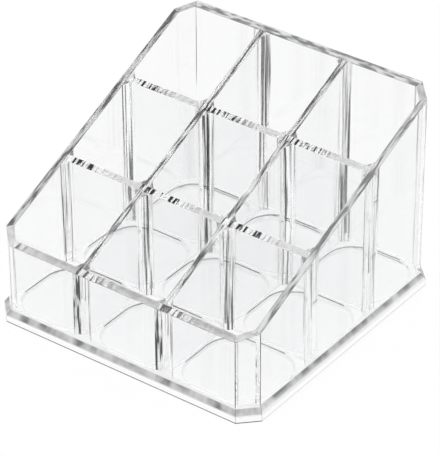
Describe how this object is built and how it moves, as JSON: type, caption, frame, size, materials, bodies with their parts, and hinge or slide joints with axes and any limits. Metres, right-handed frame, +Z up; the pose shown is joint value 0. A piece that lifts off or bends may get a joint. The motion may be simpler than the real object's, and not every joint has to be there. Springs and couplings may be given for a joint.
{
  "type": "vanity organizer",
  "caption": "Clear slanted desktop organizer: square open-topped compartments in a grid, with bevelled corners, standing on a proud bevelled base.",
  "frame": {"origin": "centre of the underside, on the surface that the organizer stands on", "axes": "+Z up; -Y towards the low front; +Y towards the tall back; +X to the right, seen from the front"},
  "size_m": [0.092, 0.092, 0.065],
  "materials": {
    "clear_plastic": "clear polished polystyrene or acrylic, smooth and glossy on every face"
  },
  "bodies": {
    "root": {"base_tray": "clear_plastic", "front_wall": "clear_plastic", "rear_wall": "clear_plastic", "left_wall": "clear_plastic", "right_wall": "clear_plastic", "front_left_corner_panel": "clear_plastic", "front_right_corner_panel": "clear_plastic", "rear_left_corner_panel": "clear_plastic", "rear_right_corner_panel": "clear_plastic", "left_divider": "clear_plastic", "right_divider": "clear_plastic", "front_divider": "clear_plastic", "rear_divider": "clear_plastic", "front_left_crossing_strips": "clear_plastic", "front_right_crossing_strips": "clear_plastic", "rear_left_crossing_strips": "clear_plastic", "rear_right_crossing_strips": "clear_plastic", "front_wall_left_strips": "clear_plastic", "front_wall_right_strips": "clear_plastic", "rear_wall_left_strips": "clear_plastic", "rear_wall_right_strips": "clear_plastic", "left_wall_front_strips": "clear_plastic", "left_wall_rear_strips": "clear_plastic", "right_wall_front_strips": "clear_plastic", "right_wall_rear_strips": "clear_plastic"}
  },
  "joints": []
}
